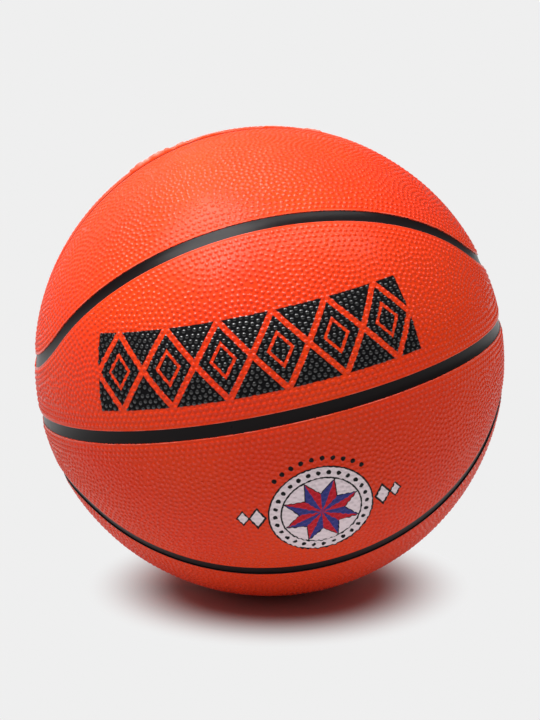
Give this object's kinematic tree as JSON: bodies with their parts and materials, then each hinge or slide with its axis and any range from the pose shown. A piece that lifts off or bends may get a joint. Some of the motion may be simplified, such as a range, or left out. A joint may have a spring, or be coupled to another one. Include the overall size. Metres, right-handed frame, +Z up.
{
  "type": "basketball",
  "caption": "Inflatable rubber basketball with pebbled orange cover panels, recessed black seams and a needle valve on its hidden side.",
  "frame": {"origin": "centre of the ball", "axes": "+Z up as the ball lies on the floor, -Y towards the printed side that the picture shows. The ball is rolled 11.7 degrees about Y, so its waist seam is not level, as in the picture."},
  "size_m": [0.2398, 0.2398, 0.2398],
  "materials": {
    "cover": "satin, pebbled",
    "seam": "satin, smooth",
    "carcass": "matte",
    "winding": "woven thread",
    "bladder": "matte",
    "valve_rubber": "matte",
    "plug_rubber": "matte"
  },
  "bodies": {
    "root": {"bladder": "bladder", "valve_housing": "valve_rubber", "valve_plug": "plug_rubber", "winding": "winding", "carcass": "carcass", "oval_front_top": "cover", "oval_front_bottom": "cover", "oval_back_top": "cover", "oval_back_bottom": "cover", "band_front_top": "cover", "band_front_bottom": "cover", "band_back_top": "cover", "band_back_bottom": "cover", "seam_ring": "seam", "seam_waist_front": "seam", "seam_waist_back": "seam", "seam_loop_front_top": "seam", "seam_loop_front_bottom": "seam", "seam_loop_back_top": "seam", "seam_loop_back_bottom": "seam"}
  },
  "joints": []
}
